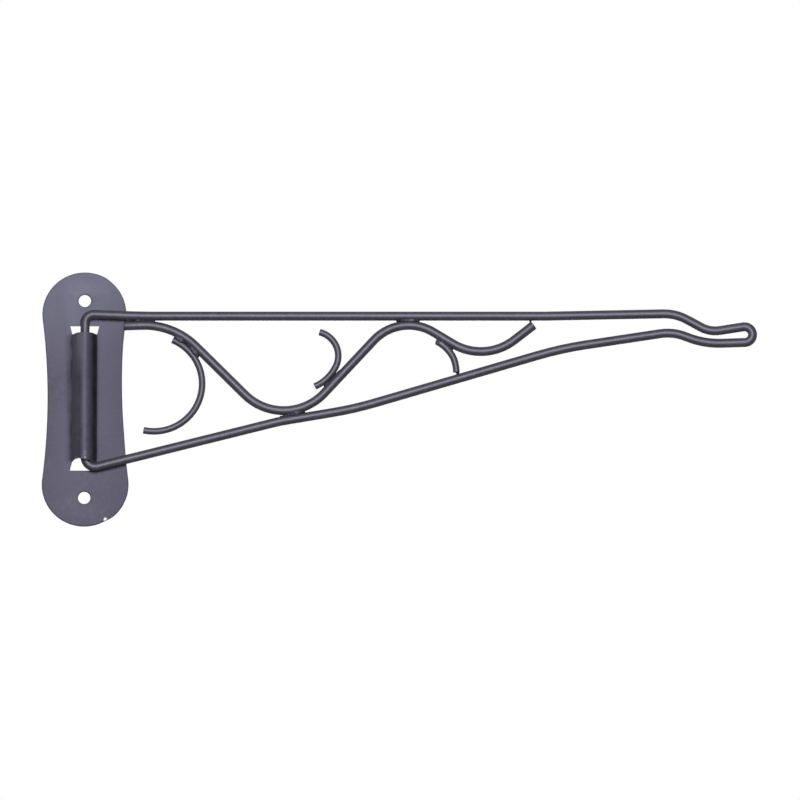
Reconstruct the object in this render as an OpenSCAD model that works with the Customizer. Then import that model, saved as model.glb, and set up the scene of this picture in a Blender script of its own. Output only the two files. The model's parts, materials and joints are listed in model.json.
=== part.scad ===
// Swivel hanging basket bracket: a pressed wall plate with a hinge bridge, and a planar
// arm of bent wire that swings in the bridge from flat on one side to flat on the other.
// Frame: X to the right along the wall, Z up, Y into the wall. The origin is the middle
// of the plate's back face, and the plate faces -Y. The arm is drawn swung flat to +X.

/* [Back plate] */
// Overall height of the plate
plate_h = 129; // [116:1:150]
// Width of the round lobe at each end
lobe_w = 42.5; // [39:0.5:54]
// Width of the waist halfway up
waist_w = 37; // [32:0.5:41]
// Thickness of the sheet
plate_t = 1.5; // [1:0.1:2.5]

/* [Screw holes] */
// Distance between the two hole centres
screw_spacing = 100; // [94:1:108]
// Diameter of each hole
screw_hole_d = 6.2; // [4:0.1:8]

/* [Hinge bridge] */
// Height of the bridge that is pressed out of the plate
bridge_len = 64.7; // [56:0.1:70]
// Height of the bridge's middle over the middle of the plate
bridge_rise = 0.5; // [-3:0.1:3]
// How far each flank spreads past the crown at its foot
flank_spread = 1.55; // [1:0.05:3]
// Inside radius where a flank turns into the plate
foot_r = 0.6; // [0.5:0.1:2]
// Free space round the leg inside the tunnel
tunnel_slack = 0.8; // [0.5:0.05:1.5]
// Height of the slot above and below the bridge
slot_h = 4.4; // [3.5:0.1:6.5]
// How much further out each slot corner is at the slot's far edge
slot_flare = 1.1; // [0.2:0.05:1.5]

/* [Wire] */
// Diameter of the arm and the wave
wire_d = 4.6; // [4:0.05:5.5]
// Diameter of the small scrolls
scroll_d = 3.4; // [2.5:0.1:4.5]
// Gap that is left at a welded seam
root_gap = 0.06; // [0.05:0.01:0.2]

/* [Arm] */
// From the swivel axis to the outer end of the nose
reach = 336.5; // [325:0.2:380]
// Gap between the arm and the face of the plate
swing_gap = 0.3; // [0.2:0.05:1]
// Straight leg that shows between the bridge and the top bend
leg_show = 4.75; // [3:0.05:9]
// Gap between the two leg ends inside the tunnel
leg_split = 4; // [1:0.5:12]
// Inside radius of the top bend
top_bend_r = 1.8; // [1:0.1:4]
// Inside radius of the bottom bend
bottom_bend_r = 2.6; // [1.5:0.1:4]
// Clearance kept where the bottom bend leaves the tunnel
bend_clear = 0.2; // [0.1:0.02:0.4]

/* [Lower bar] */
// From the swivel axis to the seat of the wave's trough
seat_x = 105.1; // [98:0.2:115]
// Kink before the seat, measured back along the arm
kink_before = 7.8; // [4:0.2:14]
// Rise of that kink over the straight line to the nose
kink_before_rise = 1.35; // [0.5:0.1:2.5]
// Kink after the seat, measured out along the arm
kink_after = 29.8; // [25:0.2:38]
// Drop of that kink under the straight line to the nose
kink_after_drop = 1.2; // [0:0.1:2]
// Kink in front of the nose, measured back from the nose's end
kink_nose = 97.9; // [88:0.2:110]
// Rise of that kink over the straight line to the nose
kink_nose_rise = 4.8; // [3.5:0.1:6]

/* [Nose] */
// Centre radius of the loop at the nose's end
nose_r = 4; // [3.2:0.1:5]
// Drop of the loop's centre under the top bar
nose_drop = 9.4; // [8:0.1:11]
// Rise of the top bar from the wave's tail to the shoulder
shoulder_rise = 1.3; // [0:0.1:3]
// Shoulder of the top bar, measured back from the nose's end
shoulder_back = 40.7; // [37:0.1:46]
// Bend radius at the shoulder
shoulder_r = 23; // [16:1:26]
// Saddle where the basket's hook hangs, measured back from the nose's end
saddle_back = 23.6; // [22:0.1:26]
// Drop of the saddle's corner under the top bar
saddle_drop = 8.1; // [7:0.1:9]
// Bend radius of the saddle
saddle_r = 14.5; // [10:0.5:16]
// Elbow under the saddle, measured back from the nose's end
elbow_back = 26.8; // [25:0.1:29]
// Drop of the elbow under the top bar
elbow_drop = 14.1; // [13:0.1:15]
// Bend radius of the elbow
elbow_r = 42; // [30:1:44]
// Neck of the lower bar, measured back from the nose's end
neck_back = 41.8; // [39:0.1:48]
// Drop of the neck under the top bar
neck_drop = 7.9; // [7:0.1:9]
// Bend radius of the neck
neck_r = 24; // [16:1:26]

/* [Wave scroll] */
// Radius of the first crest, under the top bar
crest_1_r = 36.5; // [30:0.5:44]
// Radius of the trough that sits on the lower bar
trough_1_r = 27.5; // [22:0.5:33]
// Radius of the second crest
crest_2_r = 23.7; // [20:0.1:28]
// Radius of the second trough
trough_2_r = 26.9; // [21:0.1:31]
// Slope of the fall from the first crest
fall_1 = 45; // [40:0.5:50]
// Slope of the rise to the second crest
rise = 47.3; // [42:0.1:52]
// Slope of the fall from the second crest
fall_2 = 31.3; // [27:0.1:36]
// Depth of the second trough under the top bar
dip = 18; // [15:0.5:21]
// Slope at which the tail meets the top bar
tail_slope = 38; // [32:0.5:44]
// How far the first crest bends on past its top, towards the plate
start_turn = 2; // [0:0.5:16]
// Straight start of the wave, beside the plate
start_lead = 8; // [1:0.1:12]

/* [Scrolls] */
// Radius of the large scroll
large_r = 24.1; // [19:0.1:26]
// Where the large scroll touches the first crest, round from level
large_touch = 54; // [46:0.5:62]
// Turn of the large scroll past that place, towards its upper end
large_over = 11; // [6:0.5:16]
// Turn of the large scroll from that place to its lower end
large_turn = 165; // [120:1:175]
// Upper radius of the middle scroll
middle_r = 12.4; // [10:0.1:15]
// Lower radius of the middle scroll
middle_foot_r = 21.3; // [18:0.1:25]
// Where the middle scroll sits, measured up the wave's rise
middle_seat = 7.7; // [4:0.1:14]
// Turn of the middle scroll's foot past its seat
middle_foot_turn = 20.5; // [14:0.5:30]
// Turn from the seat to the tighter bend
middle_change = 15; // [8:0.5:24]
// Turn of the middle scroll's tighter bend
middle_turn = 99; // [70:1:120]
// Radius of the small scroll
small_r = 15; // [12.5:0.1:17]
// Turn of the small scroll past its seat on the wave
small_over = 6; // [3:0.5:10]

/* [Welds] */
// Radius of the rounded face of a weld bead
bead_r = 1.6; // [1.3:0.05:1.8]
// Depth of that face's centre, forwards from the middle of the wires
bead_depth = 0.3; // [0.1:0.05:1.1]
// Depth of the bead's root, forwards from the middle of the wires
bead_root = 0.8; // [0.5:0.05:1.1]
// Length of the bead along the wave's start
start_bead = 14.5; // [6:0.5:18]
// Length of the beads between the wave and the bars further on
bar_bead = 6.5; // [5.5:0.5:9]
// Length of the bead along the large scroll
large_bead = 14; // [8:0.5:16]
// Length of the beads along the middle and the small scroll
small_bead = 8.5; // [6:0.5:10]
// Radius of the nub at the wave's tail and at the small scroll's foot
nub_r = 0.8; // [0.6:0.05:1]
// Gap that a nub bridges
nub_gap = 0.5; // [0.2:0.05:0.8]

/* [Hidden] */
$fn = 96;

// Powder coat of the sheet and of the wire
plate_colour = [0.42, 0.42, 0.47];
wire_colour = [0.38, 0.38, 0.43];

// Where two shapes meet at a tangent, one is drawn smaller by the neck, and a bend laps
// into the straights beside it, so that their surfaces cross and each piece is one solid
neck = 0.01;
bend_lap = 0.1;
// Straight end of a wire past its last bend
end_lead = 1;
// Radius of the slight kinks in the two bars
kink_r = 60;
// From the wave's tail to the kink in the top bar
tail_to_kink = 6;
long_kink_r = 180;
// Spare depth of a cut, and how far a rounded foot is rooted in the sheet
cut = 1;
root = 0.4;
// Clearance between a bead and the wires beside it
bead_gap = 0.02;

wire_r = wire_d / 2;
scroll_wire_r = scroll_d / 2;
lobe_r = lobe_w / 2;
lobe_z = plate_h / 2 - lobe_r;
waist_r = (lobe_z * lobe_z + waist_w * waist_w / 4 - lobe_r * lobe_r) / (lobe_w - waist_w);

// Depths are measured forwards from the plate's back face
axis_d = plate_t + swing_gap + wire_r;
tunnel_r = wire_r + tunnel_slack;
crown_r = tunnel_r + plate_t;
foot_x = crown_r + flank_spread;
flank_slope = atan2(axis_d - plate_t, -foot_x) - asin(crown_r / norm([foot_x, axis_d - plate_t]));

// ---- Wire geometry, in the plane of the arm: points are [along the arm, up] ----

function unit(a) = [cos(a), sin(a)];
function left(a) = [-sin(a), cos(a)];
function positive(a) = (a % 360 + 360) % 360;
// Turn from heading a to heading b: the short way, or round to side s where s isn't 0
function turn(a, b, s) =
    let (left_turn = positive(b - a))
    s > 0 || (s == 0 && left_turn < 180) ? left_turn : left_turn - 360;

// A wire is a list of stops: its two ends, corners with a bend radius, and pegs that it
// wraps round, with the radius positive where it turns left
function wire_end(p) = [p, 0, 0];
function corner(p, r) = [p, r, 0];
function peg(p, r) = [p, 0, r];

// Heading of the straight that leaves stop a and reaches stop b
function heading(a, b) =
    let (d = b[0] - a[0])
    atan2(d[1], d[0]) - asin((b[2] - a[2]) / norm(d));

// The bend at stop k, as [centre, radius, heading in, turn]
function bend_at(stops, k) =
    let (b = stops[k],
         h = heading(stops[k-1], b),
         t = turn(h, heading(b, stops[k+1]), sign(b[2])),
         r = b[1] + abs(b[2]),
         set_back = b[1] * tan(abs(t) / 2),
         side = sign(t) * r * left(h))
    [b[2] != 0 ? b[0] : b[0] - set_back * unit(h) + side, r, h, t];

// Where the straights reach stop k and leave it
function tangent(b, a) = b[0] - sign(b[3]) * b[1] * left(a);
function reaches(stops, k) =
    k == len(stops) - 1 ? stops[k][0] : let (b = bend_at(stops, k)) tangent(b, b[2]);
function leaves(stops, k) =
    k == 0 ? stops[0][0] : let (b = bend_at(stops, k)) tangent(b, b[2] + b[3]);

// Where the line through p with heading a crosses the line through q with heading b
function crossing(p, a, q, b) = p + unit(a) * ((q - p) * left(b)) / (unit(a) * left(b));

// End of a wire that leaves a peg at angle a round it, turning to side s, and runs straight on
function end_off(centre, r, a, s, lead = end_lead) = wire_end(centre + r * unit(a) + s * lead * left(a));

// ---- Arm ----

bridge_top = bridge_rise + bridge_len / 2;
bridge_bottom = bridge_rise - bridge_len / 2;
top_z = bridge_top + leg_show + top_bend_r + wire_r;
nose_x = reach - wire_r - nose_r;
dip_in = [reach - neck_back, top_z - neck_drop];

// The bottom bend may start inside the tunnel by as much as the slack lets its inner side
bottom_r = bottom_bend_r + wire_r;
bend_in = sqrt(pow(bottom_bend_r, 2) - pow(bottom_r - tunnel_r + bend_clear, 2));
foot_slope = atan2(dip_in[1] - bridge_bottom + bottom_r / 2, dip_in[0]);
foot_z = bridge_bottom + bend_in - bottom_r * tan(45 + foot_slope / 2);

// A point of the lower bar at distance x from the axis and offset over the line to the nose
function over_chord(x, offset) = [x, foot_z + (dip_in[1] - foot_z) * x / dip_in[0] + offset];
kink_1 = over_chord(seat_x - kink_before, kink_before_rise);
kink_2 = over_chord(seat_x + kink_after, -kink_after_drop);
kink_3 = over_chord(reach - kink_nose, kink_nose_rise);
seat_slope = atan2(kink_2[1] - kink_1[1], kink_2[0] - kink_1[0]);
climb_slope = atan2(kink_3[1] - kink_2[1], kink_3[0] - kink_2[0]);

// ---- Wave ----

seam = wire_d + root_gap;
crest_z = top_z - seam;
seat = crossing([seat_x, 0], 90, kink_1, seat_slope);
trough_1 = seat + (trough_1_r + seam) * left(seat_slope);
// The crests touch the top bar, and their places follow from the slopes between the pegs
crest_1 = crossing(trough_1 - (crest_1_r + trough_1_r) * left(-fall_1), -fall_1,
                   [0, crest_z - crest_1_r], 0);
crest_2 = crossing(trough_1 - (trough_1_r + crest_2_r) * left(rise), rise,
                   [0, crest_z - crest_2_r], 0);
trough_2 = crossing(crest_2 + (crest_2_r + trough_2_r) * left(-fall_2), -fall_2,
                    [0, top_z - dip + trough_2_r], 0);
// The upper edge of the tail's cut end is welded to the underside of the top bar
tail_end = crossing(trough_2 - trough_2_r * left(tail_slope), tail_slope,
                    [0, top_z - wire_r - nub_gap - wire_r * cos(tail_slope)], 0);

wave_stops = [
    end_off(crest_1, crest_1_r, 90 + start_turn, 1, start_lead),
    peg(crest_1, -crest_1_r),
    peg(trough_1, trough_1_r),
    peg(crest_2, -crest_2_r),
    peg(trough_2, trough_2_r),
    wire_end(tail_end)];

// Stops of the arm and the wave beside a nub
TOP_BEND = 1;
KINK_3 = 8;
TROUGH_2 = 4;

arm_stops = [
    wire_end([0, leg_split / 2]),
    corner([0, top_z], top_bend_r + wire_r),
    corner([tail_end[0] + tail_to_kink, top_z], kink_r),
    corner([reach - shoulder_back, top_z + shoulder_rise], shoulder_r),
    corner([reach - saddle_back, top_z - saddle_drop], saddle_r),
    peg([nose_x, top_z - nose_drop], -nose_r),
    corner([reach - elbow_back, top_z - elbow_drop], elbow_r),
    corner(dip_in, neck_r),
    corner(kink_3, long_kink_r),
    corner(kink_2, long_kink_r),
    corner(kink_1, kink_r),
    corner([0, foot_z], bottom_r),
    wire_end([0, -leg_split / 2])];

// ---- Scrolls ----

scroll_seam = wire_r + scroll_wire_r + root_gap;

large_c = crest_1 + (crest_1_r - scroll_seam - large_r) * unit(large_touch);
large_stops = [
    end_off(large_c, large_r, large_touch + large_over - large_turn, -1),
    peg(large_c, large_r),
    end_off(large_c, large_r, large_touch + large_over, 1)];

// The middle scroll sits on the rise of the wave
rise_start = trough_1 - trough_1_r * left(rise);
middle_touch = rise_start + middle_seat * unit(rise);
middle_foot_c = middle_touch + (scroll_seam + middle_foot_r) * left(rise);
middle_join = rise - 90 + middle_change;
middle_straight = 0.3;
middle_c = middle_foot_c + (middle_foot_r - middle_r) * unit(middle_join)
    + middle_straight * left(middle_join);
middle_stops = [
    end_off(middle_foot_c, middle_foot_r, rise - 90 - middle_foot_turn, -1),
    peg(middle_foot_c, middle_foot_r),
    peg(middle_c, middle_r),
    end_off(middle_c, middle_r, middle_join + middle_turn, 1)];

// The small scroll hangs from the second fall and stands on the lower bar, which rises to
// the outer edge of its foot
small_lead = 0.3;
foot_rise = wire_r / cos(climb_slope) + scroll_wire_r * tan(climb_slope) + nub_gap;
small_c = crossing(
    crest_2 + (crest_2_r - scroll_seam - small_r) * left(-fall_2), -fall_2,
    kink_2 + [-small_r, foot_rise + small_lead], climb_slope);
small_foot = small_c + [small_r, -small_lead];
small_stops = [
    end_off(small_c, small_r, 90 - fall_2 + small_over, 1),
    peg(small_c, -small_r),
    wire_end(small_foot)];

// ---- Wire solids ----

// Moves the plane of the arm, drawn in X and Y, upright onto the swivel axis
module in_arm_plane() {
    translate([0, -axis_d, 0]) rotate([90, 0, 0]) children();
}

module straight(p, q, d) {
    run = q - p;
    translate([p[0], p[1], 0])
        rotate([0, 0, atan2(run[1], run[0])])
            rotate([0, 90, 0]) cylinder(d = d, h = norm(run));
}

module bend(b, d) {
    lap = bend_lap / b[1] * 180 / PI;
    s = sign(b[3]);
    first = b[2] - 90 * s + (s > 0 ? 0 : b[3]);
    translate([b[0][0], b[0][1], 0])
        rotate([0, 0, first - lap])
            rotate_extrude(angle = abs(b[3]) + 2 * lap)
                translate([b[1], 0]) circle(d = d - 2 * neck);
}

// The part of a wire from stop i to stop j
module span(stops, i, j, d) {
    in_arm_plane() {
        for (k = [i:1:j - 1]) straight(leaves(stops, k), reaches(stops, k + 1), d);
        for (k = [i + 1:1:j - 1]) bend(bend_at(stops, k), d);
    }
}
module wire(stops, d) { span(stops, 0, len(stops) - 1, d); }

// ---- Weld solids ----

// Profile of the weld metal in the groove on each side of a seam, with the depth in Y
module groove(r_inner, r_outer) {
    for (side = [0, 1]) mirror([0, side]) difference() {
        translate([0, bead_depth]) circle(r = bead_r);
        translate([-r_inner - root_gap / 2, 0]) circle(r = r_inner + bead_gap);
        translate([r_outer + root_gap / 2, 0]) circle(r = r_outer + bead_gap);
        translate([-bead_r, bead_depth - bead_r - cut])
            square([2 * bead_r, bead_root + cut + bead_r - bead_depth]);
    }
}

// Two beads, front and back, along the straight seam at p with heading a. The wire to the
// left of that heading is the outer one.
module bead(p, a, r_inner, r_outer, length) {
    color(wire_colour) in_arm_plane() translate([p[0], p[1], 0]) intersection() {
        sphere(d = length);
        rotate([0, 0, a]) rotate([90, 0, 90])
            linear_extrude(length + 2 * cut, center = true) groove(r_inner, r_outer);
    }
}

// Two beads along a seam that curves at radius r, with its middle in direction a
module round_bead(centre, r, a, r_inner, r_outer, length) {
    turn = (length + 2 * cut) / r * 180 / PI;
    color(wire_colour) in_arm_plane() translate([centre[0], centre[1], 0]) intersection() {
        translate([r * cos(a), r * sin(a), 0]) sphere(d = length);
        rotate([0, 0, a - turn / 2])
            rotate_extrude(angle = turn) translate([r, 0]) groove(r_inner, r_outer);
    }
}

// A nub at p between the two wires given as children
module nub(p) {
    color(wire_colour) difference() {
        in_arm_plane() translate([p[0], p[1], 0]) sphere(r = nub_r);
        children();
    }
}

// ---- Back plate ----

module plate_outline() {
    side = [lobe_r * (waist_w / 2 + waist_r), lobe_z * waist_r] / (waist_r + lobe_r);
    for (s = [-1, 1]) translate([0, s * lobe_z]) circle(r = lobe_r);
    difference() {
        polygon([side, [-side[0], side[1]], -side, [side[0], -side[1]]]);
        for (s = [-1, 1]) translate([s * (waist_w / 2 + waist_r), 0]) circle(r = waist_r + neck);
    }
}

// Where the flank that touches a crown of radius r meets depth d
function flank_foot(r, d) =
    crossing([0, axis_d] + r * unit(flank_slope - 90), flank_slope, [0, d], 0);

// Profile under a crown of radius r and down both its flanks to depth d
module bell(r, d) {
    foot = flank_foot(r - neck, d);
    top = [0, axis_d] + (r - neck) * unit(flank_slope - 90);
    translate([0, axis_d]) circle(r = r);
    polygon([top, foot, [-foot[0], foot[1]], [-top[0], top[1]]]);
}

// The two webs between the flanks and depth d, rounded at radius r
module foot_webs(r_bell, d, r) {
    foot = flank_foot(r_bell, d);
    centre = foot + [r * tan((180 - flank_slope) / 2), r];
    for (s = [0, 1]) mirror([s, 0]) difference() {
        polygon([centre, centre - [0, r + root], foot - [root, root],
                 centre + (r + root) * unit(flank_slope + 90)]);
        translate(centre) circle(r = r + neck);
    }
}

module upright(h) {
    translate([0, 0, bridge_rise - h / 2]) linear_extrude(h) mirror([0, 1]) children();
}

module sheet() {
    rotate([90, 0, 0]) linear_extrude(plate_t) children();
}

module back_plate() {
    color(plate_colour) difference() {
        union() {
            sheet() plate_outline();
            upright(bridge_len) {
                bell(crown_r, plate_t / 2);
                foot_webs(crown_r, plate_t, foot_r);
            }
        }
        upright(bridge_len + 2 * cut) {
            bell(tunnel_r, -cut);
            foot_webs(tunnel_r, 0, foot_r + plate_t);
        }
        for (s = [-1, 1]) translate([0, cut, 0]) rotate([90, 0, 0]) linear_extrude(plate_t + 2 * cut) {
            translate([0, s * screw_spacing / 2]) circle(d = screw_hole_d);
            polygon([for (p = [[-foot_x, 0], [foot_x, 0],
                               [foot_x + slot_flare, slot_h], [-foot_x - slot_flare, slot_h]])
                [p[0], bridge_rise + s * (bridge_len / 2 + p[1])]]);
        }
    }
}

// ---- Wires and welds ----

module arm_wire() { color(wire_colour) wire(arm_stops, wire_d); }
module wave_scroll() { color(wire_colour) wire(wave_stops, wire_d); }
module large_scroll() { color(wire_colour) wire(large_stops, scroll_d); }
module middle_scroll() { color(wire_colour) wire(middle_stops, scroll_d); }
module small_scroll() { color(wire_colour) wire(small_stops, scroll_d); }

under_bar = top_z - wire_r - root_gap / 2;
module top_bar() { span(arm_stops, TOP_BEND, TOP_BEND + 1, wire_d); }

module weld_wave_start() {
    start = crest_1 + crest_1_r * unit(90 + start_turn) + start_lead * left(90 + start_turn);
    bead([start[0] + start_bead / 2, under_bar], 0, wire_r, wire_r, start_bead);
}
module weld_wave_crest() { bead([crest_2[0], under_bar], 0, wire_r, wire_r, bar_bead); }
module weld_wave_seat() {
    bead(seat + (seam / 2) * left(seat_slope), seat_slope, wire_r, wire_r, bar_bead);
}
module weld_wave_tail() {
    nub(tail_end + [-wire_r * sin(tail_slope), wire_r * cos(tail_slope) + nub_gap / 2]) {
        top_bar();
        span(wave_stops, TROUGH_2, TROUGH_2 + 1, wire_d);
    }
}
// The wave curves less than the scroll, so the bead between them takes the mean radius
module weld_large_scroll() {
    out = large_r + scroll_wire_r + root_gap / 2;
    r = (out + crest_1_r - wire_r - root_gap / 2) / 2;
    middle = large_touch + large_over - large_bead / 2 / out * 180 / PI;
    round_bead(large_c + out * unit(middle) - r * unit(middle), r, middle,
               scroll_wire_r, wire_r, large_bead);
}
module weld_middle_scroll() {
    bead(middle_touch + (wire_r + root_gap / 2) * left(rise), rise, wire_r, scroll_wire_r, small_bead);
}
// The wave's second crest may bend within the bead, which then ends against the wire
module weld_small_scroll_top() {
    color(wire_colour) difference() {
        bead(small_c + (small_r + scroll_wire_r + root_gap / 2) * left(-fall_2), -fall_2,
             scroll_wire_r, wire_r, small_bead);
        span(wave_stops, TROUGH_2 - 2, TROUGH_2, wire_d);
    }
}
module weld_small_scroll_foot() {
    nub(small_foot + [scroll_wire_r, -nub_gap / 2]) {
        span(arm_stops, KINK_3, KINK_3 + 1, wire_d);
        wire(small_stops, scroll_d);
    }
}

back_plate();
arm_wire();
wave_scroll();
large_scroll();
middle_scroll();
small_scroll();
weld_wave_start();
weld_wave_seat();
weld_wave_crest();
weld_wave_tail();
weld_large_scroll();
weld_middle_scroll();
weld_small_scroll_top();
weld_small_scroll_foot();
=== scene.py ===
"""Looks of a swivel hanging basket bracket: a pressed wall plate and an arm of welded wire,
all in satin graphite powder coat, hung in plain soft light over a pale floor."""

import json
from math import cos, pi, radians, sin

import bmesh
import bpy
from mathutils import Matrix, Vector, noise


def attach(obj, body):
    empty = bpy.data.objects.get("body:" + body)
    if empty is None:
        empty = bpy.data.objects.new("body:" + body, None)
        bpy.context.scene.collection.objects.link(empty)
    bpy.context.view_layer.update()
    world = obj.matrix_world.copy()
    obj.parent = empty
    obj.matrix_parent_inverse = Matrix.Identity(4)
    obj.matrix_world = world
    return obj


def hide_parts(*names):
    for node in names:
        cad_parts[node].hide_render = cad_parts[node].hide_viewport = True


MM = 0.001

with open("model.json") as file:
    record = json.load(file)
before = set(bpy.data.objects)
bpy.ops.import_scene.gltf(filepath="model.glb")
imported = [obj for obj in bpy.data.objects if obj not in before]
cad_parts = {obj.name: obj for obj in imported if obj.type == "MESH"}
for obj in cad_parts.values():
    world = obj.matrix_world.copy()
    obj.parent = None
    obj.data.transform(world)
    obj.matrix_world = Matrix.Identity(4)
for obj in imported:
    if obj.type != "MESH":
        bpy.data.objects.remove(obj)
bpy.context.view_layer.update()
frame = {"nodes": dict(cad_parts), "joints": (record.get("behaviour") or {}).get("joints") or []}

AXIS_Y = frame["joints"][0]["pos_m"][1]     # depth of the swivel axis and of the flat arm


# ---- Materials ----

def linear(colour):
    """sRGB hex, such as "#6A6976", to the linear colour that a shader takes."""
    channels = [int(colour[i:i + 2], 16) / 255 for i in (1, 3, 5)]
    return tuple(c / 12.92 if c <= 0.04045 else ((c + 0.055) / 1.055) ** 2.4
                 for c in channels) + (1.0,)


def add(tree, kind, inputs=None, **settings):
    """Adds a node with its own settings. An input takes a plain value or a node's output.

    Inputs 1 and 2 of a map range are the values for which it gives 0 and 1, or else what its
    inputs 3 and 4 say. A colour mix takes its second colour's share and then both colours."""
    made = tree.nodes.new(kind)
    for name, value in settings.items():
        setattr(made, name, value)
    for name, value in (inputs or {}).items():
        if isinstance(value, bpy.types.NodeSocket):
            tree.links.new(value, made.inputs[name])
        else:
            made.inputs[name].default_value = value
    return made


def powder_coat(name, body, thin, dust, roughness, flake, orange_peel_mm):
    """Polyester powder with a little metal flake, sprayed dry on steel and baked: it gives the
    eye a satin, bluish graphite with the faint waviness of orange peel and a fine tooth in the
    sheen."""
    material = bpy.data.materials.new(name)
    material.use_nodes = True
    tree = material.node_tree
    tree.nodes.clear()
    place = add(tree, "ShaderNodeTexCoord").outputs["Object"]

    # The coat lies thicker and thinner over a few centimetres, with a finer mottling
    cloud = add(tree, "ShaderNodeTexNoise", {"Vector": place, "Scale": 1 / (28 * MM), "Detail": 3})
    mottle = add(tree, "ShaderNodeTexNoise", {"Vector": place, "Scale": 1 / (2.4 * MM),
                                              "Detail": 3, "Roughness": 0.6})
    cloudy = add(tree, "ShaderNodeMapRange", {0: cloud.outputs[0], 1: 0.3, 2: 0.7},
                 interpolation_type="SMOOTHSTEP")
    mottled = add(tree, "ShaderNodeMapRange", {0: mottle.outputs[0], 1: 0.42, 2: 0.72},
                  interpolation_type="SMOOTHSTEP")
    colour = add(tree, "ShaderNodeMix", {0: cloudy.outputs[0], 6: linear(body),
                                         7: linear(thin)}, data_type="RGBA")
    colour = add(tree, "ShaderNodeMix", {0: mottled.outputs[0], 6: colour.outputs[2],
                                         7: linear(dust)}, data_type="RGBA")

    # Orange peel is 1 to 2 mm from crest to crest and about 5 microns high; the tooth of the
    # powder is finer than the eye can part, so its grit is drawn coarser than it is
    peel = add(tree, "ShaderNodeTexNoise", {"Vector": place, "Detail": 1,
                                            "Scale": 1 / (orange_peel_mm * MM)})
    tooth = add(tree, "ShaderNodeTexNoise", {"Vector": place, "Scale": 1 / (0.35 * MM),
                                             "Detail": 1})
    wave = add(tree, "ShaderNodeBump", {"Height": peel.outputs[0], "Strength": 0.35,
                                        "Distance": 0.06 * MM})
    grain = add(tree, "ShaderNodeBump", {"Height": tooth.outputs[0], "Normal": wave.outputs[0],
                                         "Strength": 0.25, "Distance": 0.02 * MM})
    rough = add(tree, "ShaderNodeMapRange", {0: mottle.outputs[0], 3: roughness - 0.05,
                                             4: roughness + 0.05})
    surface = add(tree, "ShaderNodeBsdfPrincipled",
                  {"Base Color": colour.outputs[2], "Roughness": rough.outputs[0],
                   "Normal": grain.outputs[0], "IOR": 1.5, "Metallic": flake,
                   "Specular IOR Level": 0.05}, name="surface")
    add(tree, "ShaderNodeOutputMaterial", {"Surface": surface.outputs[0]})
    return material


def laid_over(material, colour, *masks):
    """Lays another colour over a coat's own, by the product of the masks: 1 hides the coat."""
    tree = material.node_tree
    surface = tree.nodes["surface"]
    under = surface.inputs["Base Color"].links[0].from_socket
    share = masks[0]
    for mask in masks[1:]:
        share = add(tree, "ShaderNodeMath", {0: share, 1: mask}, operation="MULTIPLY").outputs[0]
    over = add(tree, "ShaderNodeMix", {0: share, 6: under, 7: linear(colour)}, data_type="RGBA")
    tree.links.new(over.outputs[2], surface.inputs["Base Color"])


def chipped(material, colour, *chips, softness):
    """Chips or scuffs (x, y, z, size) in millimetres, each with a torn edge that is blurred
    over its softness, a share of its size."""
    tree = material.node_tree
    place = add(tree, "ShaderNodeTexCoord").outputs["Object"]
    torn = add(tree, "ShaderNodeTexNoise", {"Vector": place, "Scale": 1 / (0.8 * MM),
                                            "Detail": 3})
    for x, y, z, size in chips:
        away = add(tree, "ShaderNodeVectorMath", {0: place, 1: (x * MM, y * MM, z * MM)},
                   operation="DISTANCE")
        edge = add(tree, "ShaderNodeMath", {0: torn.outputs[0], 1: -size * MM,
                                            2: away.outputs["Value"]},
                   operation="MULTIPLY_ADD")
        bare = add(tree, "ShaderNodeMapRange", {0: edge.outputs[0], 1: softness * size * MM,
                                                2: -softness * size * MM})
        laid_over(material, colour, bare.outputs[0])


# One powder, in three coats: a dull, even one on the plate, a shinier one drawn tight round
# the wires, and one for the welds painted nearly black, as painted shade for their grooves
# The wires' thinner coat, which is also laid on proud welds as painted light
WIRE_THIN_AND_LIT_WELD = "#605E69"
plate_coat = powder_coat("plate_powder_coat", "#524F5E", "#575463", "#5D5A69",
                         roughness=0.58, flake=0.5, orange_peel_mm=1.4)
wire_coat = powder_coat("wire_powder_coat", "#5B5964", WIRE_THIN_AND_LIT_WELD, "#66646F",
                        roughness=0.5, flake=0.6, orange_peel_mm=1.1)
weld_coat_painted_shade = powder_coat("weld_powder_painted_shade", "#282730", "#302F39", "#3D3C46",
                        roughness=0.5, flake=0.5, orange_peel_mm=0.9)

BRIDGE_MIDDLE_Z = 0.5 * MM


def painted_light_on_proud_welds():
    """Painted light where the welds stand proud of the groove between two wires: there the weld
    coat's painted shade gives way to the wires' paler colour.
    """
    tree = weld_coat_painted_shade.node_tree
    place = add(tree, "ShaderNodeTexCoord").outputs["Object"]
    along = add(tree, "ShaderNodeSeparateXYZ", {0: place})
    depth = add(tree, "ShaderNodeMath", {0: along.outputs["Y"], 1: AXIS_Y}, operation="SUBTRACT")
    depth = add(tree, "ShaderNodeMath", {0: depth.outputs[0]}, operation="ABSOLUTE")
    proud = add(tree, "ShaderNodeMapRange", {0: depth.outputs[0], 1: 1.4 * MM, 2: 2.4 * MM})
    laid_over(weld_coat_painted_shade, WIRE_THIN_AND_LIT_WELD, proud.outputs[0])


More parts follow.
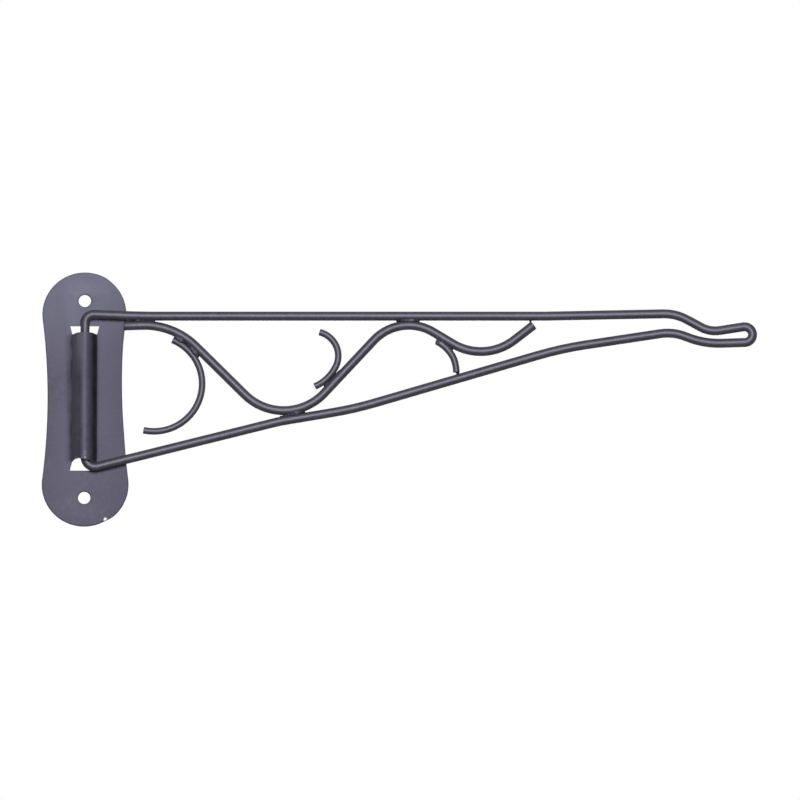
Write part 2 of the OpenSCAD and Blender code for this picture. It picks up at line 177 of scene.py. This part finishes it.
def painted_light_across_plate():
    """Painted light on the plate, paler towards the upper left, and painted shade, darker towards
    the right."""
    tree = plate_coat.node_tree
    place = add(tree, "ShaderNodeTexCoord").outputs["Object"]
    along = add(tree, "ShaderNodeSeparateXYZ", {0: place})
    # Painted shade, darker towards the right
    painted_shade_right = add(tree, "ShaderNodeMapRange", {0: along.outputs["X"], 1: 3 * MM, 2: 15 * MM,
                                              4: 0.4})
    laid_over(plate_coat, "#4A4855", painted_shade_right.outputs[0])
    # Painted light, paler towards the upper left
    to_upper_left = add(tree, "ShaderNodeVectorMath", {0: place, 1: (-0.5, 0, 0.86)},
                 operation="DOT_PRODUCT")
    painted_light_upper_left = add(tree, "ShaderNodeMapRange", {0: to_upper_left.outputs["Value"], 1: 10 * MM,
                                               2: 56 * MM, 4: 0.8},
                  interpolation_type="SMOOTHSTEP")
    laid_over(plate_coat, "#6A6A7A", painted_light_upper_left.outputs[0])


def painted_shade_light_and_streaks_on_bridge():
    """Painted shade and light on the pressed bridge and beside it, and the die's streaks."""
    tree = plate_coat.node_tree
    place = add(tree, "ShaderNodeTexCoord").outputs["Object"]
    along = add(tree, "ShaderNodeSeparateXYZ", {0: place})
    height = add(tree, "ShaderNodeMath", {0: along.outputs["Z"], 1: BRIDGE_MIDDLE_Z},
                 operation="SUBTRACT")
    height = add(tree, "ShaderNodeMath", {0: height.outputs[0]}, operation="ABSOLUTE")
    between = add(tree, "ShaderNodeMapRange", {0: height.outputs[0], 1: 33 * MM, 2: 31.5 * MM})

    # Painted shade in the crease at each foot of the bridge, deepest on the right. The
    # shade starts, is deepest and ends at these places in X
    patchy = add(tree, "ShaderNodeTexNoise", {"Vector": place, "Scale": 1 / (9 * MM),
                                              "Detail": 1})
    patchy = add(tree, "ShaderNodeMapRange", {0: patchy.outputs[0], 1: 0.38, 2: 0.62, 3: 0.7,
                                              4: 1.1})
    for start, foot, end, depth in ((-10.6, -6.4, -5.6, 0.75), (-6.6, -5.2, -4.3, 0.12),
                                    (8.4, 4.9, 2.6, 0.8)):
        near = add(tree, "ShaderNodeMapRange", {0: along.outputs["X"], 1: start * MM,
                                                2: foot * MM})
        past = add(tree, "ShaderNodeMapRange", {0: along.outputs["X"], 1: end * MM,
                                                2: foot * MM})
        crease_shade = add(tree, "ShaderNodeMath", {0: near.outputs[0], 1: past.outputs[0]},
                     operation="MULTIPLY")
        crease_shade = add(tree, "ShaderNodeMath", {0: crease_shade.outputs[0], 1: 1.6}, operation="POWER")
        laid_over(plate_coat, "#16151C", crease_shade.outputs[0], patchy.outputs[0],
                  between.outputs[0], depth)

    # Painted light: the left flank is paler, and paler still towards the bridge's upper end
    outer = add(tree, "ShaderNodeMapRange", {0: along.outputs["X"], 1: -6.4 * MM, 2: -5.8 * MM})
    inner = add(tree, "ShaderNodeMapRange", {0: along.outputs["X"], 1: -2.9 * MM, 2: -4.8 * MM})
    laid_over(plate_coat, "#787684", outer.outputs[0], inner.outputs[0], between.outputs[0])
    outer = add(tree, "ShaderNodeMapRange", {0: along.outputs["X"], 1: -6.0 * MM, 2: -5.4 * MM})
    inner = add(tree, "ShaderNodeMapRange", {0: along.outputs["X"], 1: -0.6 * MM, 2: -2.0 * MM})
    upper = add(tree, "ShaderNodeMapRange", {0: along.outputs["Z"], 1: 10 * MM, 2: 25 * MM,
                                             4: 0.25})
    laid_over(plate_coat, "#A8A6B4", upper.outputs[0], outer.outputs[0], inner.outputs[0],
              between.outputs[0])

    # The die has drawn faint streaks along the crown
    drawn = add(tree, "ShaderNodeMapping", {"Vector": place, "Scale": (1, 1, 0.03)})
    drawn = add(tree, "ShaderNodeTexNoise", {"Vector": drawn.outputs[0], "Detail": 2,
                                             "Scale": 1 / (1.1 * MM)})
    drawn = add(tree, "ShaderNodeMapRange", {0: drawn.outputs[0], 1: 0.5, 2: 0.8, 4: 0.45})
    crown = add(tree, "ShaderNodeMapRange", {0: along.outputs["Y"], 1: -2.5 * MM, 2: -4 * MM})
    laid_over(plate_coat, "#3C3B45", drawn.outputs[0], crown.outputs[0])


painted_light_on_proud_welds()
painted_light_across_plate()
painted_shade_light_and_streaks_on_bridge()

# Knocks down to the dulled steel: one on the rim of the lower lobe, and a small one on the
# crown near the bridge's lower end, with a scuff over it
chipped(plate_coat, "#DAD9DC", (10.6, -1.2, -61.0, 1.8), (0.5, -8.7, -30.6, 0.45),
        softness=0.12)
chipped(plate_coat, "#6E6D80", (0.3, -8.7, -28.9, 0.9), (0.4, -8.7, -27.8, 1.0), softness=0.5)


# ---- Pieces ----

SHARP = radians(40)         # edges over this angle are shaded sharp
SAME_PLACE = 0.002 * MM     # vertices nearer than this are one


def ramp(value, start, end):
    """0 up to start and 1 from end on, with a straight line between them."""
    return min(1, max(0, (value - start) / (end - start)))


def dressed(piece, material, body, node):
    """Gives a piece its finish and its body, and hides the CAD node it stands for."""
    piece.data.materials.clear()
    piece.data.materials.append(material)
    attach(piece, body)
    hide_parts(node)


def piece_from(name, shape):
    """Turns a bmesh into an object at the origin, shaded smooth but for its sharp edges."""
    mesh = bpy.data.meshes.new(name)
    shape.to_mesh(mesh)
    shape.free()
    if "custom_normal" in mesh.attributes:      # the CAD's normals don't fit a changed mesh
        mesh.attributes.remove(mesh.attributes["custom_normal"])
    for face in mesh.polygons:
        face.use_smooth = True
    mesh.set_sharp_from_angle(angle=SHARP)
    piece = bpy.data.objects.new(name, mesh)
    bpy.context.scene.collection.objects.link(piece)
    return piece


def apply_modifiers(piece):
    """Makes a piece's modifiers part of its mesh."""
    bpy.context.view_layer.update()
    depsgraph = bpy.context.evaluated_depsgraph_get()
    mesh = bpy.data.meshes.new_from_object(piece.evaluated_get(depsgraph))
    piece.modifiers.clear()
    old = piece.data
    piece.data = mesh
    bpy.data.meshes.remove(old)
    mesh.name = piece.name


def merged(node):
    """A copy of a CAD node's mesh, with its triangles joined and its flat faces whole."""
    shape = bmesh.new()
    shape.from_mesh(frame["nodes"][node].data)
    bmesh.ops.remove_doubles(shape, verts=shape.verts, dist=SAME_PLACE)
    bmesh.ops.dissolve_limit(shape, angle_limit=radians(0.05), verts=shape.verts,
                             edges=shape.edges, delimit={"NORMAL"})
    return shape


def rounded(shape, rims, radius_mm):
    """Rounds the given rims, as tumbling and a thick coat leave them."""
    bmesh.ops.bevel(shape, geom=rims, offset=radius_mm * MM, offset_type="OFFSET",
                    affect="EDGES", segments=4, profile=0.5, material=-1,
                    clamp_overlap=False)


def cut_across(shape, faces, x_mm):
    """Cuts the given faces at a place in X, so that they can bend there."""
    edges = dict.fromkeys(e for f in faces for e in f.edges)
    verts = dict.fromkeys(v for f in faces for v in f.verts)
    bmesh.ops.bisect_plane(shape, geom=[*faces, *edges, *verts],
                           plane_co=(x_mm * MM, 0, 0), plane_no=(1, 0, 0))


def bend(shape, moves):
    """Moves each point right and up by what moves() says of its place, all in millimetres."""
    for vert in shape.verts:
        right, up = moves(vert.co / MM)
        vert.co.x += right * MM
        vert.co.z += up * MM


# ---- Plate ----

FLAT_Y = -1.51 * MM         # the sheet's front, and a hair
BRIDGE_X = 8 * MM           # the bridge lies within these
SLOTS_X = 9.5 * MM          # and its slots within these
SLOTS_Z = 40 * MM
FLANK_CUTS = (-5.6, -5.2, -4.8, -3.9)       # where the bridge's left flank can bend


def out_of_true(place):
    """The bridge's lower end was sheared askew, up on the left and down on the right, and the
    plate's right edge runs out a little."""
    at_lower_end = -32 < place.z < -31 and place.y < -0.02
    raised = at_lower_end and place.y < -1.6
    left = ramp(place.x, -6.1, -4.5) ** 0.7 * ramp(place.x, 0.9, -3.5) if at_lower_end else 0
    right = ramp(abs(place.x - 5), 2.6, 0) ** 0.6 if raised else 0
    askew = max(-0.45, min(0.9, 0.35 - 0.03 * place.z))
    return askew * ramp(place.x, 10, 14), 1.3 * left - 0.9 * right


def pressed_plate():
    """The sheet. The press has rolled over its rims, but not those of the slots."""
    sheet = merged("back_plate")
    rims = [e for e in sheet.edges if e.calc_face_angle(0) > SHARP
            and all(v.co.y > FLAT_Y and (abs(v.co.x) > BRIDGE_X or abs(v.co.z) > SLOTS_Z)
                    for v in e.verts)]
    rounded(sheet, rims, 0.5)
    for x_mm in FLANK_CUTS:
        by_bridge = [f for f in sheet.faces
                     if all(abs(v.co.x) < SLOTS_X and abs(v.co.z) < SLOTS_Z for v in f.verts)]
        cut_across(sheet, by_bridge, x_mm)
    bend(sheet, out_of_true)
    dressed(piece_from("pressed_plate", sheet), plate_coat, "plate",
            "back_plate")


pressed_plate()


# ---- Wires ----

DISC = 1 / (4 * pi)         # a disc's area as a share of its perimeter squared


def sprung_arm(place):
    """The arm's bar sprang up beside its upper bend, and its leg leans, most at the foot."""
    sprung = ramp(place.z, 33.5, 37.5) * ramp(place.x, 34, 6) ** 1.5
    leg = ramp(place.x, 14, 4)
    foot = ramp(place.z, -25, -33)
    return (0.2 + 0.3 * foot) * leg, 0.8 * sprung + 0.1 * leg * foot


def longer_start(place):
    """The wave was cut a trifle longer, up to the plate's edge."""
    return -0.7 if place.x < 22 else 0, 0


def bent_to_wave(place):
    """The small scroll's upper end was bent up against the wave."""
    bent = ramp(place.z, 17, 27)
    return 1.2 * bent * (1 - bent) - 0.7 * bent ** 2, 1.9 * bent ** 2


def bent_wire(name, node, moves=None, cuts=()):
    """A wire. Its cut ends have lost their burr and hold a thick coat; they are its faces that
    are nearly discs, as the narrow ones between bends aren't."""
    wire = merged(node)
    cut_ends = [f for f in wire.faces if len(f.verts) > 8
                and f.calc_area() > 0.88 * DISC * f.calc_perimeter() ** 2]
    rounded(wire, list(dict.fromkeys(e for f in cut_ends for e in f.edges)), 0.25)
    for x_mm in cuts:
        cut_across(wire, wire.faces[:], x_mm)
    if moves:
        bend(wire, moves)
    dressed(piece_from(name, wire), wire_coat, "arm", node)


bent_wire("arm_bent_wire", "arm_wire", sprung_arm, cuts=range(4, 36, 2))
bent_wire("wave_wire", "wave_scroll", longer_start)
bent_wire("large_scroll_wire", "large_scroll")
bent_wire("middle_scroll_wire", "middle_scroll")
bent_wire("small_scroll_wire", "small_scroll", bent_to_wave)


# ---- Welds ----

UNDER_BAR = 39.37           # seam between the top bar and what is welded under it
PITCH = 0.7                 # from lump to lump, in millimetres
UNEVEN = 0.3                # how far a lump may stray, in millimetres, and swell, as a share
DRIFT = 1.3                 # the millimetres over which that changes


def weld_metal(name, node, *seam, depth=0):
    """Weld metal as it sets: lumps along the seam, given by (x, z, radius) in millimetres, run
    together into one skin. With a depth, one run lies in front of the arm's middle and one
    behind it."""
    shape = bmesh.new()
    for (x, z, radius), (to_x, to_z, to_radius) in zip(seam, seam[1:]):
        run = Vector((to_x - x, 0, to_z - z))
        count = max(1, round(run.length / PITCH))
        for i in range(count + 1):
            for side in (-1, 1) if depth else (0,):
                place = Vector((x, side * depth, z)) + run * i / count
                wander = UNEVEN * noise.noise(place / DRIFT)
                size = radius + (to_radius - radius) * i / count
                place.y += side * wander
                bmesh.ops.create_icosphere(
                    shape, subdivisions=2, radius=size * (1 + wander) * MM,
                    matrix=Matrix.Translation(place * MM + Vector((0, AXIS_Y, 0))))
    piece = piece_from(name, shape)
    skin = piece.modifiers.new("skin", "REMESH")
    skin.mode = "VOXEL"
    skin.voxel_size = 0.14 * MM
    flow = piece.modifiers.new("flow", "SMOOTH")
    flow.factor = 0.5
    flow.iterations = 4
    apply_modifiers(piece)
    for face in piece.data.polygons:
        face.use_smooth = True
    dressed(piece, weld_coat_painted_shade, "arm", node)


weld_metal("start_weld", "weld_wave_start", (21.2, 39.5, 0.65), (24.0, 39.45, 0.6),
           (27.4, UNDER_BAR, 1.05), (30.4, UNDER_BAR, 0.6), (34.8, UNDER_BAR, 0.6), depth=0.5)
weld_metal("crest_weld", "weld_wave_crest", (156.4, UNDER_BAR, 0.6), (160.6, UNDER_BAR, 0.8),
           (163.2, UNDER_BAR, 1.6), (165.0, UNDER_BAR, 0.7), (167.2, UNDER_BAR, 0.6), depth=1.1)
weld_metal("seat_weld", "weld_wave_seat", (98.0, -9.5, 0.5), (103.4, -8.5, 0.6),
           (106.0, -7.6, 1.7), (108.0, -7.2, 0.7), (110.0, -7.0, 0.5), depth=1.1)
weld_metal("tail_weld", "weld_wave_tail", (223.1, 38.7, 0.55), (223.1, 39.6, 0.7))
weld_metal("large_scroll_weld", "weld_large_scroll", (45.6, 30.8, 0.9), (47.6, 29.7, 1.8),
           (50.4, 28.0, 0.5), (52.6, 26.2, 0.8), (54.6, 24.0, 1.65), (56.8, 21.2, 0.5),
           depth=1.0)
weld_metal("middle_scroll_weld", "weld_middle_scroll", (120.2, 6.0, 0.7), (122.0, 7.8, 1.0),
           (123.4, 9.2, 0.7), (125.0, 10.8, 1.0), (127.6, 13.5, 0.75), depth=0.8)
weld_metal("small_scroll_weld", "weld_small_scroll_top", (176.9, 28.9, 1.2), (178.6, 28.1, 0.9),
           (181.0, 26.6, 1.0), (183.0, 25.2, 0.9), (183.8, 24.7, 0.6), depth=0.6)
weld_metal("foot_weld", "weld_small_scroll_foot", (186.4, 13.1, 0.9), (187.0, 12.2, 0.8))


# ---- Camera ----

VIEW_WIDTH = 0.4            # the frame is 400 mm wide at the arm
DISTANCE = 8.0              # far off, so that what lies deeper looks hardly smaller
SENSOR = 36
TARGET = Vector((0.1578, AXIS_Y, -0.0009))
LOW_VIEW = radians(10)      # the eye is below the bracket, as it is for one on a wall

camera = bpy.data.objects.new("camera", bpy.data.cameras.new("camera"))
bpy.context.scene.collection.objects.link(camera)
camera.location = TARGET + DISTANCE * Vector((0, -cos(LOW_VIEW), -sin(LOW_VIEW)))
camera.rotation_euler = (pi / 2 + LOW_VIEW, 0, 0)
camera.data.sensor_width = SENSOR
camera.data.lens = SENSOR * DISTANCE / VIEW_WIDTH
camera.data.clip_start = 0.1
camera.data.clip_end = 100
bpy.context.scene.camera = camera


# ---- Light ----

MIDDLE = Vector((0.16, 0, 0))               # of the bracket, which both lamps face


def softbox(name, azimuth, elevation, distance, width, height, power):
    """An area light that faces the bracket, placed round it by angles in degrees."""
    lamp = bpy.data.lights.new(name, "AREA")
    lamp.shape = "RECTANGLE"
    lamp.size = width
    lamp.size_y = height
    lamp.energy = power
    made = bpy.data.objects.new(name, lamp)
    bpy.context.scene.collection.objects.link(made)
    a, e = radians(azimuth), radians(elevation)
    outward = Vector((sin(a) * cos(e), -cos(a) * cos(e), sin(e)))
    made.location = MIDDLE + distance * outward
    made.rotation_euler = (-outward).to_track_quat("-Z", "Y").to_euler()
    return made


softbox("key_light", azimuth=-1.5, elevation=7, distance=1.8, width=0.45, height=1.0,
        power=31.5)
back_light = softbox("back_light", azimuth=180, elevation=0, distance=2.2, width=0.9,
                     height=0.9, power=16)
back_light.visible_camera = False           # it stands behind the bracket, in the picture


# ---- Floor and world ----

PALE = "#F6F6F6"
FLOOR_Z = -1.5
FLOOR_REACH = 40            # past all that the camera sees
UNSHADED = 0.75             # share of the floor's look that no shadow darkens
ROOM = 0.12                 # what gloss shows of the darker room in front of the bracket


def floor_paint():
    """Matt paint, which gives the eye an even, nearly white ground that still takes a shadow.
    It throws little light up at the bracket, and gloss shows it pale only behind it."""
    material = bpy.data.materials.new("pale_floor_paint")
    material.use_nodes = True
    tree = material.node_tree
    tree.nodes.clear()
    path = add(tree, "ShaderNodeLightPath")
    place = add(tree, "ShaderNodeTexCoord").outputs["Object"]
    along = add(tree, "ShaderNodeSeparateXYZ", {0: place})
    behind = add(tree, "ShaderNodeMapRange", {0: along.outputs["Y"], 1: -0.3, 2: 1.5, 4: 0.8},
                 interpolation_type="SMOOTHSTEP")
    in_gloss = add(tree, "ShaderNodeMath", {0: path.outputs["Is Glossy Ray"],
                                            1: behind.outputs[0]}, operation="MULTIPLY")
    glowing = add(tree, "ShaderNodeMath", {0: path.outputs["Is Camera Ray"], 1: UNSHADED,
                                           2: in_gloss.outputs[0]}, operation="MULTIPLY_ADD")
    matt = add(tree, "ShaderNodeBsdfDiffuse", {"Color": linear("#8C8C8C")})
    glow = add(tree, "ShaderNodeEmission", {"Color": linear(PALE), "Strength": 1.0})
    both = add(tree, "ShaderNodeMixShader", {0: glowing.outputs[0], 1: matt.outputs[0],
                                             2: glow.outputs[0]})
    add(tree, "ShaderNodeOutputMaterial", {"Surface": both.outputs[0]})
    return material


def pale_studio():
    """A world that is white to the eye, and that gloss shows pale behind the bracket and dark
    in front. It lights nothing else, so that only the lamps do."""
    world = bpy.data.worlds.new("pale_studio")
    world.use_nodes = True
    tree = world.node_tree
    tree.nodes.clear()
    path = add(tree, "ShaderNodeLightPath")
    direction = add(tree, "ShaderNodeTexCoord").outputs["Generated"]
    along = add(tree, "ShaderNodeSeparateXYZ", {0: direction})
    behind = add(tree, "ShaderNodeMapRange", {0: along.outputs["Y"], 1: -0.3, 2: 0.5, 3: ROOM,
                                              4: 1.0}, interpolation_type="SMOOTHSTEP")
    in_gloss = add(tree, "ShaderNodeMath", {0: path.outputs["Is Glossy Ray"],
                                            1: behind.outputs[0]}, operation="MULTIPLY")
    direct = add(tree, "ShaderNodeMath", {0: path.outputs["Is Camera Ray"],
                                          1: path.outputs["Is Transmission Ray"]},
                 operation="MAXIMUM")
    strength = add(tree, "ShaderNodeMath", {0: in_gloss.outputs[0], 1: direct.outputs[0]},
                   operation="MAXIMUM")
    sky = add(tree, "ShaderNodeBackground", {"Color": linear("#FFFFFF"),
                                             "Strength": strength.outputs[0]})
    add(tree, "ShaderNodeOutputWorld", {"Surface": sky.outputs[0]})
    return world


floor_shape = bmesh.new()
bmesh.ops.create_grid(floor_shape, x_segments=1, y_segments=1, size=FLOOR_REACH,
                      matrix=Matrix.Translation((0, 0, FLOOR_Z)))
floor = piece_from("floor", floor_shape)
floor.data.materials.append(floor_paint())

bpy.context.scene.world = pale_studio()
bpy.context.scene.view_settings.view_transform = "Standard"
